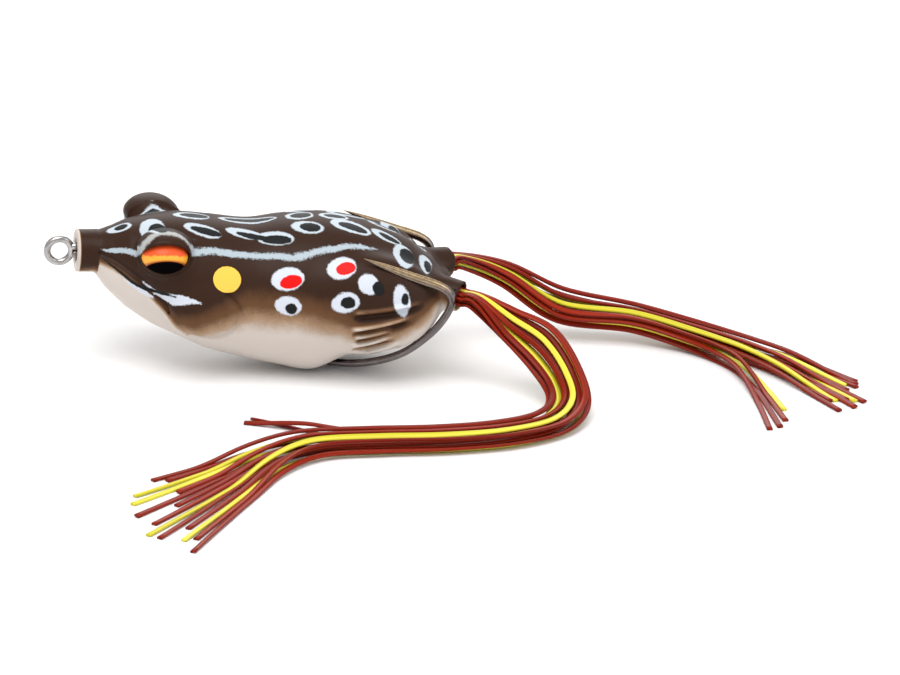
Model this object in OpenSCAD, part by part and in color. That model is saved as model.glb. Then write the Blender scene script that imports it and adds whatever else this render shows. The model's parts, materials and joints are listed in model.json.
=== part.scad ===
// Hollow-body topwater frog lure. Millimetres, +Z up, tail towards +X.
// The origin is the centre of the line-tie eye, with the eye's hole along Y.

/* [Body] */
// Length from the nose face to the mouths of the leg tubes
body_length = 58.4; // [56:0.2:61]
// Greatest width, across the thighs
body_width = 26; // [25:0.5:27]
// Depth scale of the body, from keel to back
body_depth = 24; // [23.5:0.5:25]
// Wall thickness of the soft shell
wall = 1.5; // [1.2:0.1:1.8]
// Outside diameter of the round collar at the nose
collar_d = 6.5; // [6:0.1:7]
// Length of the collar
collar_len = 3.2; // [2.8:0.1:3.6]

/* [Hook] */
// Wire diameter of the double hook
wire_d = 1.2; // [1.1:0.05:1.3]
// Wire diameter of the line-tie eye
eye_wire_d = 1.1; // [1:0.05:1.2]
// Bore of the line-tie eye
eye_bore_d = 2.8; // [2.6:0.1:3]
// Diameter of the ballast cast on the shank
weight_d = 8; // [7:0.2:8.2]
// Length of the ballast
weight_len = 13.5; // [12:0.5:14]

/* [Frog eyes] */
// Diameter of each domed eye
frog_eye_d = 6.8; // [6.4:0.1:7]

/* [Skirt] */
// Width of one silicone strand
strand_w = 0.7; // [0.6:0.05:0.75]
// Thickness of one silicone strand
strand_t = 0.4; // [0.3:0.05:0.4]
// Outside diameter of a leg tube
tube_d = 4.8; // [4.6:0.1:5]
// Bore of a leg tube
tube_bore_d = 4; // [3.9:0.1:4.1]

/* [Hidden] */
rows = 4;                // layers of strands in one leg
columns = 4;             // strands in one layer
strand_count = rows * columns;
SIDES = ["left", "right"];

// ---- Frame -------------------------------------------------------------
nose_x = 2.5;                                   // nose face, measured from the eye's centre
kx = body_length / 58.4;
ky = body_width / 26;
kz = body_depth / 24;
tube_z = -4.7;                                  // height of the leg tubes' mouths
frog_brown = [0.24, 0.2, 0.17];
red_brown = [0.5, 0.12, 0.07];
chartreuse = [0.85, 0.9, 0.25];

// ---- Body outline ------------------------------------------------------
// Stations along the body: [distance from the nose face, half width, half height, centre height]
stations = [
    [2.4, 3.0, 3.0, 0], [4.8, 4.6, 4.7, -1.1], [7.7, 6.9, 6.6, -1.9], [11.7, 9, 8.3, -2.8],
    [15.8, 10.1, 9.4, -3.6], [20.2, 10.6, 10.2, -4.8], [26.6, 10.9, 10.7, -5.9],
    [31.2, 11.8, 11.5, -6.1], [36.5, 12.8, 12.1, -6.3], [41.8, 13, 10.7, -5.5],
    [46.7, 12.4, 9.2, -5.6], [51.7, 10.6, 6.8, -5.6], [55.2, 8.4, 4, -5.4], [57, 6.4, 2.4, -5.4]
];
skin_start = 2.4;
skin_end = 57;
skin_rings = 42;
skin_sectors = 40;
cavity_start = 5.6;
cavity_end = 52.5;
cavity_rings = 26;
cavity_sectors = 28;

// Cubic through four equally weighted values
function cubic(a, b, c, d, t) =
    b + 0.5 * t * (c - a + t * (2 * a - 5 * b + 4 * c - d + t * (3 * (b - c) + d - a)));
function row(list, i) = list[max(0, min(len(list) - 1, i))];
// Number of the station at or before x
function station_before(x, i = 0) =
    (i >= len(stations) - 2 || stations[i + 1][0] > x) ? i : station_before(x, i + 1);
// [half width, half height, centre height] of the body at x from the nose face
function section(x) =
    let (i = station_before(x), a = stations[i][0], b = stations[i + 1][0], t = (x - a) / (b - a))
    [for (c = [1 : 3])
        cubic(row(stations, i - 1)[c], row(stations, i)[c], row(stations, i + 1)[c],
            row(stations, i + 2)[c], t)];
// A rounded swelling, 1 at its middle and near 0 beyond its reach
function swell(d, reach) = exp(-d * d / (reach * reach));
// Height of the eye bumps and thigh pads over the plain section
function relief(x, angle) =
    let (side = angle > 90 && angle < 270 ? 180 - angle : (angle > 180 ? angle - 360 : angle))
    2.6 * swell(x - 12.6, 4) * swell(side - 42, 17)
    + 0.8 * swell(x - 45, 6) * swell(side + 12, 26);
// One ring of skin points at x, set in by inset
function skin_ring(x, sectors, inset, with_relief) =
    let (s = section(x))
    [for (k = [0 : sectors - 1])
        let (
            angle = 360 * k / sectors,
            grow = with_relief ? relief(x, angle) : 0,
            half_w = s[0] - inset + grow,
            half_h = s[1] - inset + grow
        )
        [nose_x + x * kx, half_w * ky * cos(angle), (s[2] + half_h * sin(angle)) * kz]];
// A closed solid through a list of rings that all have the same number of points
module loft(rings, sectors) {
    count = len(rings);
    points = [for (r = rings) each r];
    sides = [for (i = [0 : count - 2]) for (k = [0 : sectors - 1])
        let (a = i * sectors + k, b = i * sectors + (k + 1) % sectors)
        each [[a, b + sectors, b], [a, a + sectors, b + sectors]]];
    first = [for (k = [0 : sectors - 1]) k];
    last = [for (k = [sectors - 1 : -1 : 0]) (count - 1) * sectors + k];
    polyhedron(points, concat([first], sides, [last]), convexity = 6);
}
module skin() {
    step = (skin_end - skin_start) / (skin_rings - 1);
    loft([for (i = [0 : skin_rings - 1])
        skin_ring(skin_start + i * step, skin_sectors, 0, true)], skin_sectors);
}
module cavity() {
    step = (cavity_end - cavity_start) / (cavity_rings - 1);
    loft([for (i = [0 : cavity_rings - 1])
        skin_ring(cavity_start + i * step, cavity_sectors, wall + 0.15, false)], cavity_sectors);
}

// ---- Leg tubes ---------------------------------------------------------
tube_len = 9;
tube_splay = 30;                                // degrees outwards from the body's axis
tube_droop = 8;                                 // degrees down towards the mouth
tube_mouth_x = nose_x + body_length;
tube_mouth_y = 7.6;
// Places its children at a leg tube's mouth, with +Z out of the tube; side is -1 left, 1 right
module at_tube(side) {
    translate([tube_mouth_x, side * tube_mouth_y, tube_z])
        rotate([0, 90 + tube_droop, side * tube_splay]) children();
}
module along_tube(side, d, from, to) {
    at_tube(side) translate([0, 0, from]) cylinder(d = d, h = to - from, $fn = 48);
}

// ---- Eyes --------------------------------------------------------------
frog_eye_x = nose_x + 12.4 * kx;
frog_eye_z = 2.4;
pocket_y = 8;                                   // floor of each eye pocket
pocket_play = 0.08;
module frog_eye(side) {
    rim = 1.1;
    dome = 2.2;
    r = frog_eye_d / 2;
    bulge = (r * r + dome * dome) / (2 * dome);
    translate([frog_eye_x, side * (pocket_y + pocket_play), frog_eye_z]) rotate([-side * 90, 0, 0]) {
        cylinder(r = r, h = rim, $fn = 64);
        intersection() {
            translate([0, 0, rim + dome - bulge]) sphere(r = bulge, $fn = 64);
            translate([0, 0, rim - 0.01]) cylinder(r = r, h = dome + 1, $fn = 64);
        }
    }
}
module eye_pocket(side) {
    depth = 9;
    translate([frog_eye_x, side * pocket_y, frog_eye_z]) rotate([-side * 90, 0, 0])
        cylinder(r = frog_eye_d / 2 + pocket_play, h = depth, $fn = 64);
}

// ---- Openings in the shell ---------------------------------------------
slit_from = nose_x + 34.8 * kx;                 // belly slit that the hook leaves by
slit_to = nose_x + 47 * kx;
slit_w = 7;
nose_bore_d = 3.5;
module openings() {
    rotate([0, 90, 0]) cylinder(d = nose_bore_d, h = nose_x + 8, $fn = 48);
    translate([slit_from, -slit_w / 2, -22]) cube([slit_to - slit_from, slit_w, 14]);
    for (side = [-1, 1]) {
        along_tube(side, tube_bore_d, -tube_len - 3, 1);
        eye_pocket(side);
    }
}
module body_shell() {
    color(frog_brown) difference() {
        union() {
            skin();
            translate([nose_x, 0, 0]) rotate([0, 90, 0]) cylinder(d = collar_d, h = collar_len, $fn = 64);
            for (side = [-1, 1]) along_tube(side, tube_d, -tube_len, 0);
        }
        cavity();
        openings();
    }
}

// ---- Swept wires and strands -------------------------------------------
// Point at t along a route of hand-chosen points, with t counted in points
function along(route, t) =
    let (i = min(len(route) - 2, floor(t)), f = t - i)
    [for (c = [0 : len(route[0]) - 1])
        cubic(row(route, i - 1)[c], row(route, i)[c], row(route, i + 1)[c], row(route, i + 2)[c], f)];
function unit(v) = v / norm(v);
// Ring of points round p, across the direction of travel, from an outline in [sideways, up]
function cross_ring(p, travel, outline) =
    let (across = unit(cross([0, 0, 1], travel)), up = unit(cross(travel, across)))
    [for (o = outline) p + o[0] * across + o[1] * up];
function place(p) = [p[0], p[1], p[2]];
// Direction of travel along a route at t
function travel(route, t) =
    place(along(route, min(len(route) - 1, t + 0.02))) - place(along(route, max(0, t - 0.02)));

// ---- Double hook -------------------------------------------------------
eye_pitch_r = (eye_bore_d + eye_wire_d) / 2 - 0.1;   // the eye's bore is flattened by this 0.1
// Right-hand wire, from the back of the eye round to the point: [x, y, z, radius share]
wire_route = [
    [1.75, 0, 0.56, 1], [3.2, 0, 0.56, 1], [8, 0.45, -0.9, 1], [12.5, 0.56, -3.2, 1],
    [22, 0.56, -8, 1], [32, 0.56, -13.2, 1], [38, 0.7, -16, 1], [42, 2, -17.2, 1],
    [46.9, 5.2, -16.3, 1], [52.2, 7.7, -13.9, 1], [56.3, 9.6, -9.9, 1], [58.55, 10.6, -6.2, 1],
    [58.95, 11, -3.6, 1], [57.3, 11.1, -1.9, 1], [53, 11, -0.4, 1.1], [48.6, 10.9, 1.25, 0.8],
    [45.2, 10.8, 2.6, 0.12]
];
wire_rings = 50;
wire_sides = 10;
module hook_wire(side) {
    last = len(wire_route) - 1;
    // Left of the middle the wire leaves the eye's lower end, and right of it the upper end
    route = [for (p = wire_route) [p[0], side * p[1], p[0] < 4 ? side * p[2] : p[2], p[3]]];
    loft([for (i = [0 : wire_rings])
        let (t = last * i / wire_rings, p = along(route, t), radius = wire_d / 2 * p[3])
        cross_ring(place(p), travel(route, t), [for (k = [0 : wire_sides - 1])
            let (angle = 360 * k / wire_sides) radius * [cos(angle), sin(angle)]])], wire_sides);
}
module double_hook() {
    color([0.35, 0.33, 0.33]) {
        difference() {
            rotate([90, 0, 0]) rotate_extrude($fn = 96)
                translate([eye_pitch_r, 0]) circle(d = eye_wire_d, $fn = 32);
            rotate([90, 0, 0]) cylinder(d = eye_bore_d, h = 4, center = true, $fn = 64);
        }
        for (side = [-1, 1]) hook_wire(side);
    }
}

// ---- Ballast -----------------------------------------------------------
weight_x = nose_x + 35.5;                       // middle of the ballast
weight_drop = 27.5;                             // degrees that the shank falls towards the tail
weight_z = -11.9;
shank_in_weight = 3.8;                          // the shank runs this far below the ballast's axis
shank_slot = [1.7, 2.9];                        // depth and width of the groove for the two wires
module hook_weight() {
    color([0.45, 0.45, 0.47])
    translate([weight_x, 0, weight_z]) rotate([0, 90 + weight_drop, 0]) difference() {
        rotate_extrude($fn = 64) intersection() {
            scale([weight_d / weight_len, 1]) circle(d = weight_len, $fn = 64);
            translate([0, -weight_len / 2]) square([weight_d, weight_len]);
        }
        translate([shank_in_weight, 0, 0])
            cube([shank_slot[0], shank_slot[1], weight_len + 2], center = true);
    }
}

// ---- Skirt -------------------------------------------------------------
// Sixteen strands run through both leg tubes. Their hidden middle is one solid, the core.
core_d = tube_bore_d - 0.2;
core_set_in = 0.15;                             // how far the core's ends lie inside the mouths
core_sides = 12;
core_rings = 24;
// A point this far out of a tube's mouth, and this far sideways and up from its axis
function out_of_tube(side, out, aside, up) =
    let (
        c = cos(tube_splay), s = side * sin(tube_splay),
        run = out * cos(tube_droop) + up * sin(tube_droop)
    )
    [tube_mouth_x + run * c - aside * s, side * tube_mouth_y + run * s + aside * c,
        tube_z - out * sin(tube_droop) + up * cos(tube_droop)];
core_route = [
    out_of_tube(-1, -core_set_in, 0, 0), out_of_tube(-1, -4, 0, 0), out_of_tube(-1, -7.5, 0, 0),
    out_of_tube(-1, -10.7, 0, 0), [tube_mouth_x - 10.6, 0, tube_z + 1.6],
    out_of_tube(1, -10.7, 0, 0), out_of_tube(1, -7.5, 0, 0), out_of_tube(1, -4, 0, 0),
    out_of_tube(1, -core_set_in, 0, 0)
];
module skirt_core() {
    last = len(core_route) - 1;
    color(red_brown) loft([for (i = [0 : core_rings])
        let (t = last * i / core_rings)
        cross_ring(along(core_route, t), travel(core_route, t), [for (k = [0 : core_sides - 1])
            let (angle = 360 * k / core_sides) core_d / 2 * [cos(angle), sin(angle)]])], core_sides);
}

// Each leg lies between two guides, an inner and an outer edge, given for its lowest layer.
// A strand keeps its share of the way from the inner to the outer guide, so strands never cross.
floor_z = -18.4;                                // the keel and the lowest strands stand on this
lie_z = floor_z + strand_t / 2;
root_gap = 0.9;                                 // the strands are modelled from here outwards
root_pitch = 0.5;                               // between layers inside the tube
loose_pitch = 0.75;                             // between layers once the bundle opens
root_half = 1.44;                               // half the spread of strand middles in the tube
root_up = -(rows - 1) / 2 * root_pitch;
function root(side, out, share) = out_of_tube(side, out, share * root_half, root_up);
left_inner = [
    root(-1, root_gap, -1), root(-1, 2.6, -1), [67.1, -11.6, -10.2], [70.9, -15, -13.8],
    [73.1, -18.8, -16.4], [72.5, -23.4, -17.8], [68.9, -28.2, lie_z], [62, -31.6, lie_z],
    [53, -33.4, lie_z], [43, -34, lie_z], [33, -35, lie_z], [23.5, -38.6, lie_z],
    [15.5, -43.4, lie_z], [7, -48.2, lie_z], [-1.5, -52.5, lie_z], [-10, -56.5, lie_z]
];
left_outer = [
    root(-1, root_gap, 1), root(-1, 2.6, 1), [69.3, -9.3, -6.6], [75.1, -12, -8.8],
    [78.5, -17.4, -13.6], [78.7, -24, -17], [74.5, -31.6, lie_z], [66.1, -37.2, lie_z],
    [55.5, -39.8, lie_z], [45, -40.6, lie_z], [35.5, -42.2, lie_z], [28.5, -48.5, lie_z],
    [22.5, -59, lie_z], [16, -71, lie_z], [9.5, -83, lie_z], [3.5, -94, lie_z]
];
right_inner = [
    root(1, root_gap, -1), root(1, 2.6, -1), [70, 9.5, -9.2], [78.6, 8.6, -14.8], [90, 7.4, -15.9],
    [98, 4.2, -17.4], [104.5, -1.5, lie_z], [109, -8.5, lie_z], [112.2, -15.5, lie_z],
    [114.6, -22, lie_z], [116.6, -28, lie_z]
];
right_outer = [
    root(1, root_gap, 1), root(1, 2.6, 1), [70.6, 13, -8.2], [79.6, 13.4, -12.4],
    [91, 11.8, -14.9], [100.5, 9, -16.8], [108.5, 5.2, lie_z], [114.5, 0.8, lie_z],
    [119.2, -4.2, lie_z], [123.4, -9.6, lie_z], [127, -15, lie_z]
];
// Where each strand ends, counted in guide points, from the inner strand to the outer
left_ends = [10.35, 10.2, 13, 12.8, 13.6, 13.8, 12.9, 14, 13.2, 13.9, 14.2, 14.1, 13.5, 13.8, 13.6, 13.9];
right_ends = [8.4, 8.6, 8.5, 8.1, 9.4, 8.9, 9, 9.6, 9.2, 9.4, 9.6, 8.9, 8.7, 9, 8.9, 8.8];
// How far the innermost strands stray from the bundle, in shares of its width
left_strays = [1.3, 1.75];
right_strays = [0.95, 0.8, 0.72, 0.66];
left_stray_span = [9, 10.6];                    // they leave the bundle over this stretch
right_stray_span = [4.8, 8.6];
left_settle = [10, 12.4];                       // where the layers come down to the floor
left_stray_settle = [9.6, 10.4];
right_settle = [5.7, 8.9];
right_stray_settle = [6, 7.4];
layer_of = [2, 0, 3, 1];                        // so that neighbours lie in different layers
step = 0.3;                                     // rings are this far apart, in guide points

function ease(t) = let (u = max(0, min(1, t))) u * u * (3 - 2 * u);
// The way from the inner to the outer guide, and the way the guides run
function spread(side, t) =
    along(side < 0 ? left_outer : right_outer, t) - along(side < 0 ? left_inner : right_inner, t);
function guide_travel(side, t) =
    travel(side < 0 ? left_inner : right_inner, t) + travel(side < 0 ? left_outer : right_outer, t);
function strays(side) = side < 0 ? left_strays : right_strays;
function is_stray(side, k) = k < len(strays(side));
function strand_point(side, k, t) =
    let (
        left = side < 0,
        inner = along(left ? left_inner : right_inner, t),
        outer = along(left ? left_outer : right_outer, t),
        span = left ? left_stray_span : right_stray_span,
        stray = is_stray(side, k) ? strays(side)[k] * ease((t - span[0]) / (span[1] - span[0])) : 0,
        settle = is_stray(side, k) ? (left ? left_stray_settle : right_stray_settle)
            : (left ? left_settle : right_settle),
        share = k / (strand_count - 1) - stray,
        pitch = root_pitch + (loose_pitch - root_pitch) * ease(t / 3),
        height = layer_of[k % columns] * pitch * (1 - ease((t - settle[0]) / (settle[1] - settle[0])))
    )
    inner + share * (outer - inner) + height * unit(cross(guide_travel(side, t), spread(side, t)));
left_yellow = [4, 5, 10, 13];                    // counted from the inner strand
right_yellow = [3, 6, 9, 12];
module strand(side, k) {
    end = (side < 0 ? left_ends : right_ends)[k];
    count = ceil(end / step);
    w = strand_w / 2;
    h = strand_t / 2;
    outline = [[w, h], [-w, h], [-w, -h], [w, -h]];
    yellow = len(search(k, side < 0 ? left_yellow : right_yellow)) > 0;
    color(yellow ? chartreuse : red_brown) loft([for (i = [0 : count])
        let (
            t = end * i / count,
            d = 0.02,
            go = unit(strand_point(side, k, min(end, t + d)) - strand_point(side, k, max(0, t - d))),
            wide = spread(side, t),
            across = unit(wide - (wide * go) * go),
            up = cross(go, across)
        )
        [for (o = outline) strand_point(side, k, t) + o[0] * across + o[1] * up]], 4);
}
body_shell();
double_hook();
hook_weight();
frog_eye(-1);  // eye_left
frog_eye(1);  // eye_right
skirt_core();
for (i = [0 : 1]) for (k = [1 : strand_count])
    strand(i == 0 ? -1 : 1, k - 1);
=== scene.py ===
"""Hollow-body topwater frog lure: the visual model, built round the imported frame.

Lengths are in millimetres until a mesh is made, and MM turns them to metres. Only the camera and
the lamps are placed in metres. The frame's axes are used throughout: the nose points to -X, the
frog's left side faces -Y, and Z is up.
"""
import json
import math

import bmesh
import bpy
import numpy as np
from mathutils import Matrix, Vector


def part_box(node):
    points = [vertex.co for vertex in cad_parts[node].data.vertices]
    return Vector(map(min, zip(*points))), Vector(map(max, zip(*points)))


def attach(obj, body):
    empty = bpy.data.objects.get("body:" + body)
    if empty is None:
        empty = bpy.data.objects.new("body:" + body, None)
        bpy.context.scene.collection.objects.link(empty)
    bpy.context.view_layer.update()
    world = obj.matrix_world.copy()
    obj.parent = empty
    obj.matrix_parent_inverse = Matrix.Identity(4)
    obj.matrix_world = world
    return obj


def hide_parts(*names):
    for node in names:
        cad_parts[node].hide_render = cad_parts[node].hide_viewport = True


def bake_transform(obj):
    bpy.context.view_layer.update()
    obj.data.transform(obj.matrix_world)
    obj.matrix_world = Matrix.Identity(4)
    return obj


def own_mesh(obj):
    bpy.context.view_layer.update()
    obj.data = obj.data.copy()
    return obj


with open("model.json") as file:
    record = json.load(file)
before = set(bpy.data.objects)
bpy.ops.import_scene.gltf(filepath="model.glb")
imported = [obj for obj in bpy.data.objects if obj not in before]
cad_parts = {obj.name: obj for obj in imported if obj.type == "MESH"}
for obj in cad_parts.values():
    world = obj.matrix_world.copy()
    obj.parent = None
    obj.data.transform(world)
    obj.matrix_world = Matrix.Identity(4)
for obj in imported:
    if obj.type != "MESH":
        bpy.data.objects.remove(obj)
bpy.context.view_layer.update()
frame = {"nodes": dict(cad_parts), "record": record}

MM = 0.001
SIDES = {"left": -1, "right": 1}

# ---- Places taken from the frame ------------------------------------------
joints = {j["name"]: j for j in frame["record"]["behaviour"]["joints"]}
MOUTH = [v / MM for v in joints["right_leg_swing"]["pos_m"]]    # middle of the right tube's mouth
FLOOR_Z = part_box("body_shell")[0].z / MM
# What the design gives the nose and the leg tubes
NOSE_X = 2.5
TUBE_SPLAY, TUBE_DROOP = math.radians(30), math.radians(8)


# ---- Small helpers --------------------------------------------------------
def ease(t):
    u = np.clip(t, 0, 1)
    return u * u * (3 - 2 * u)


def blend_min(a, b, k):
    """Smooth union of two distances, rounded over about k."""
    h = np.clip(0.5 + 0.5 * (b - a) / k, 0, 1)
    return b + (a - b) * h - k * h * (1 - h)


def blend_max(a, b, k):
    return -blend_min(-a, -b, k)


def cubic(points, t):
    """Points on the cubic that passes through a list of points, at t counted in points."""
    p = np.asarray(points, float)
    last = len(p) - 1
    t = np.asarray(t, float)
    i = np.clip(np.floor(t).astype(int), 0, last - 1)
    f = (t - i)[..., None]
    a, b, c, d = (p[np.clip(i + n, 0, last)] for n in (-1, 0, 1, 2))
    return b + 0.5 * f * (c - a + f * (2 * a - 5 * b + 4 * c - d + f * (3 * (b - c) + d - a)))


def make_mesh(name, vertices, faces, smooth=True):
    """A mesh object from millimetre vertices."""
    mesh = bpy.data.meshes.new(name)
    mesh.from_pydata([tuple(v) for v in np.asarray(vertices) * MM], [], [tuple(f) for f in faces])
    mesh.update()
    if smooth:
        mesh.shade_smooth()
    obj = bpy.data.objects.new(name, mesh)
    bpy.context.scene.collection.objects.link(obj)
    return obj


def add_field(obj, name, values):
    """A number for each vertex, which a material reads by name."""
    field = obj.data.attributes.new(name, "FLOAT", "POINT")
    field.data.foreach_set("value", np.asarray(values, np.float32))


# ---- Camera, light and floor ----------------------------------------------
LIGHT_SIZE = 0.5
FLOOR_GAP = 0.02                                 # keeps the floor just clear of what lies on it
FLOOR_HALF = 3000


def add_camera():
    azimuth, elevation, roll = math.radians(-9.6), math.radians(20), math.radians(3.3)
    distance, field_width = 4.0, 0.1368
    origin_left, origin_up = 0.0594, 0.01325      # from the middle of the view to the line-tie eye
    sensor = 36
    toward = Vector((math.sin(azimuth) * math.cos(elevation),
                     -math.cos(azimuth) * math.cos(elevation), math.sin(elevation)))
    flat_right = Vector((math.cos(azimuth), math.sin(azimuth), 0))
    flat_up = toward.cross(flat_right)
    right = flat_right * math.cos(roll) + flat_up * math.sin(roll)
    up = toward.cross(right)
    camera = bpy.data.objects.new("camera", bpy.data.cameras.new("camera"))
    camera.data.sensor_width = sensor
    camera.data.lens = sensor * distance / field_width
    camera.data.clip_end = 10
    target = right * origin_left - up * origin_up
    turn = Matrix((right, up, toward)).transposed().to_4x4()
    camera.matrix_world = Matrix.Translation(target + toward * distance) @ turn
    bpy.context.scene.collection.objects.link(camera)
    bpy.context.scene.camera = camera


def add_light(name, place, aim, power):
    """A soft square lamp that faces aim."""
    light = bpy.data.objects.new(name, bpy.data.lights.new(name, "AREA"))
    light.data.size = LIGHT_SIZE
    light.data.energy = power
    light.location = place
    light.rotation_euler = (Vector(aim) - Vector(place)).to_track_quat("-Z", "Y").to_euler()
    bpy.context.scene.collection.objects.link(light)


def add_floor():
    z = FLOOR_Z - FLOOR_GAP
    corners = [(-1, -1), (1, -1), (1, 1), (-1, 1)]
    floor = make_mesh("studio_floor", [(FLOOR_HALF * x, FLOOR_HALF * y, z) for x, y in corners],
                      [(0, 1, 2, 3)], smooth=False)
    paint = Paint("studio_floor")
    paint.shader.inputs["Base Color"].default_value = (0.86, 0.86, 0.86, 1)
    paint.shader.inputs["Roughness"].default_value = 0.9
    floor.data.materials.append(paint.material)


def add_studio():
    aim = (0.05, -0.01, -0.01)
    add_light("key_light", (-0.1, -0.25, 0.6), aim, 3.6)
    add_light("fill_light", (0.55, -0.4, 0.3), aim, 1.2)
    add_light("back_light", (0.1, 0.6, 0.4), aim, 1.6)
    world = bpy.data.worlds.new("studio")
    bpy.context.scene.world = world
    world.use_nodes = True
    background = world.node_tree.nodes["Background"].inputs
    background["Color"].default_value = (1, 1, 1, 1)
    background["Strength"].default_value = 0.7
    bpy.context.scene.view_settings.view_transform = "Standard"
    add_floor()


# ---- Materials ------------------------------------------------------------
class Paint:
    """A material with its shader, and short ways to add and join its nodes."""

    def __init__(self, name):
        self.material = bpy.data.materials.new(name)
        self.material.use_nodes = True
        self.tree = self.material.node_tree
        self.shader = self.tree.nodes["Principled BSDF"]

    def node(self, kind, settings=None, **inputs):
        n = self.tree.nodes.new(kind)
        for key, value in (settings or {}).items():
            setattr(n, key, value)
        for key, value in inputs.items():
            self.put(n.inputs[key.replace("_", " ")], value)
        return n

    def put(self, socket, value):
        if isinstance(value, bpy.types.NodeSocket):
            self.tree.links.new(value, socket)
        else:
            socket.default_value = value

    def math(self, operation, a, b=0.0, c=0.0):
        n = self.node("ShaderNodeMath", {"operation": operation})
        for socket, value in zip(n.inputs, (a, b, c)):
            self.put(socket, value)
        return n.outputs[0]

    def mix(self, factor, a, b, kind="MIX"):
        n = self.node("ShaderNodeMix", {"data_type": "RGBA", "blend_type": kind})
        self.put(n.inputs["Factor"], factor)
        self.put(n.inputs[6], a)
        self.put(n.inputs[7], b)
        return n.outputs[2]

    def field(self, name):
        return self.node("ShaderNodeAttribute", {"attribute_name": name}).outputs["Fac"]

    def noise(self, scale, detail=2.0, place=None, rough=0.5):
        n = self.node("ShaderNodeTexNoise", {}, Scale=scale, Detail=detail, Roughness=rough)
        self.put(n.inputs["Vector"], place or self.place())
        return n.outputs["Fac"]

    def place(self):
        return self.node("ShaderNodeTexCoord").outputs["Object"]

    def ramp(self, value, low, high):
        n = self.node("ShaderNodeMapRange", {"interpolation_type": "SMOOTHSTEP", "clamp": True})
        for socket, v in zip(n.inputs, (value, low, high, 0.0, 1.0)):
            self.put(socket, v)
        return n.outputs[0]

    def bump(self, height, strength, distance):
        n = self.node("ShaderNodeBump", {}, Strength=strength, Distance=distance, Height=height)
        self.put(self.shader.inputs["Normal"], n.outputs["Normal"])


def colour(r, g, b):
    """A linear colour from the usual 0 to 255 numbers."""
    def linear(v):
        v /= 255
        return v / 12.92 if v <= 0.04045 else ((v + 0.055) / 1.055) ** 2.4
    return (linear(r), linear(g), linear(b), 1)


# ---- Skirt strands ---------------------------------------------------------
STRANDS = 16                                     # in each leg
STRAND_T = 0.4                                   # thickness of the silicone strip
STRIP_W = 0.92                                   # its full width
CORNER = 0.1                                     # how far its edges are rounded
HIDDEN = (4, 0.4)                                # the hidden start, back from the first guide point
HIDDEN_RINGS = 8
RING_STEP = 0.09                                 # between a strand's rings, in guide points
LIE_Z = FLOOR_Z + STRAND_T / 2
LAYERS = 4
LAYER_OF = (2, 0, 3, 1)                          # the layer of each strand, in turn


def out_of_tube(side, out, aside=0.0, up=0.0):
    """A point out of a leg tube's mouth, aside and up from its axis."""
    c, s = math.cos(TUBE_SPLAY), side * math.sin(TUBE_SPLAY)
    run = out * math.cos(TUBE_DROOP) + up * math.sin(TUBE_DROOP)
    return np.array([MOUTH[0] + run * c - aside * s, side * MOUTH[1] + run * s + aside * c,
                     MOUTH[2] - out * math.sin(TUBE_DROOP) + up * math.cos(TUBE_DROOP)])


def tube_run(side):
    """The way out of a leg tube."""
    return Vector(out_of_tube(side, 1) - out_of_tube(side, 0))


ROOT_GAP = 0.9                                   # from the mouth to the first guide point
ROOT_PITCH, LOOSE_PITCH = 0.5, 0.75              # between layers in the tube, and further out
ROOT_HALF = 1.44                                 # half the width of a layer in the tube
ROOT_UP = -(LAYERS - 1) / 2 * ROOT_PITCH


def root(side, out, share):
    """A guide point in line with the leg's tube, at a share of the half width to one side."""
    return out_of_tube(side, out, share * ROOT_HALF, ROOT_UP)


# The inner and the outer edge of each leg, given for its lowest layer
GUIDES = {
    "left": (
        [root(-1, ROOT_GAP, -1), root(-1, 2.6, -1), (67.1, -11.6, -10.2), (70.9, -15, -13.8),
         (73.1, -18.8, -16.4), (72.5, -23.4, -17.8), (68.9, -28.2, LIE_Z), (62, -31.6, LIE_Z),
         (53, -33.4, LIE_Z), (43, -34, LIE_Z), (33, -35, LIE_Z), (23.5, -38.6, LIE_Z),
         (15.5, -43.4, LIE_Z), (7, -48.2, LIE_Z), (-1.5, -52.5, LIE_Z), (-10, -56.5, LIE_Z)],
        [root(-1, ROOT_GAP, 1), root(-1, 2.6, 1), (69.3, -9.3, -6.6), (75.1, -12, -8.8),
         (78.5, -17.4, -13.6), (78.7, -24, -17), (74.5, -31.6, LIE_Z), (66.1, -37.2, LIE_Z),
         (55.5, -39.8, LIE_Z), (45, -40.6, LIE_Z), (35.5, -42.2, LIE_Z), (28.5, -48.5, LIE_Z),
         (22.5, -59, LIE_Z), (16, -71, LIE_Z), (9.5, -83, LIE_Z), (3.5, -94, LIE_Z)]),
    "right": (
        [root(1, ROOT_GAP, -1), root(1, 2.6, -1), (70, 9.5, -9.2), (78.6, 8.6, -14.8),
         (90, 7.4, -15.9), (98, 4.2, -17.4), (104.5, -1.5, LIE_Z), (109, -8.5, LIE_Z),
         (112.2, -15.5, LIE_Z), (114.6, -22, LIE_Z), (116.6, -28, LIE_Z)],
        [root(1, ROOT_GAP, 1), root(1, 2.6, 1), (70.6, 13, -8.2), (79.6, 13.4, -12.4),
         (91, 11.8, -14.9), (100.5, 9, -16.8), (108.5, 5.2, LIE_Z), (114.5, 0.8, LIE_Z),
         (119.2, -4.2, LIE_Z), (123.4, -9.6, LIE_Z), (127, -15, LIE_Z)]),
}
# Where each strand ends, counted in guide points, from the inner strand to the outer
ENDS = {
    "left": (10.35, 10.2, 13, 12.8, 13.6, 13.8, 12.9, 14, 13.2, 13.9, 14.2, 14.1, 13.5, 13.8,
             13.6, 13.9),
    "right": (8.4, 8.6, 8.5, 8.1, 9.4, 8.9, 9, 9.6, 9.2, 9.4, 9.6, 8.9, 8.7, 9, 8.9, 8.8),
}
YELLOW = {"left": (4, 5, 10, 13), "right": (3, 6, 9, 12)}
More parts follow.
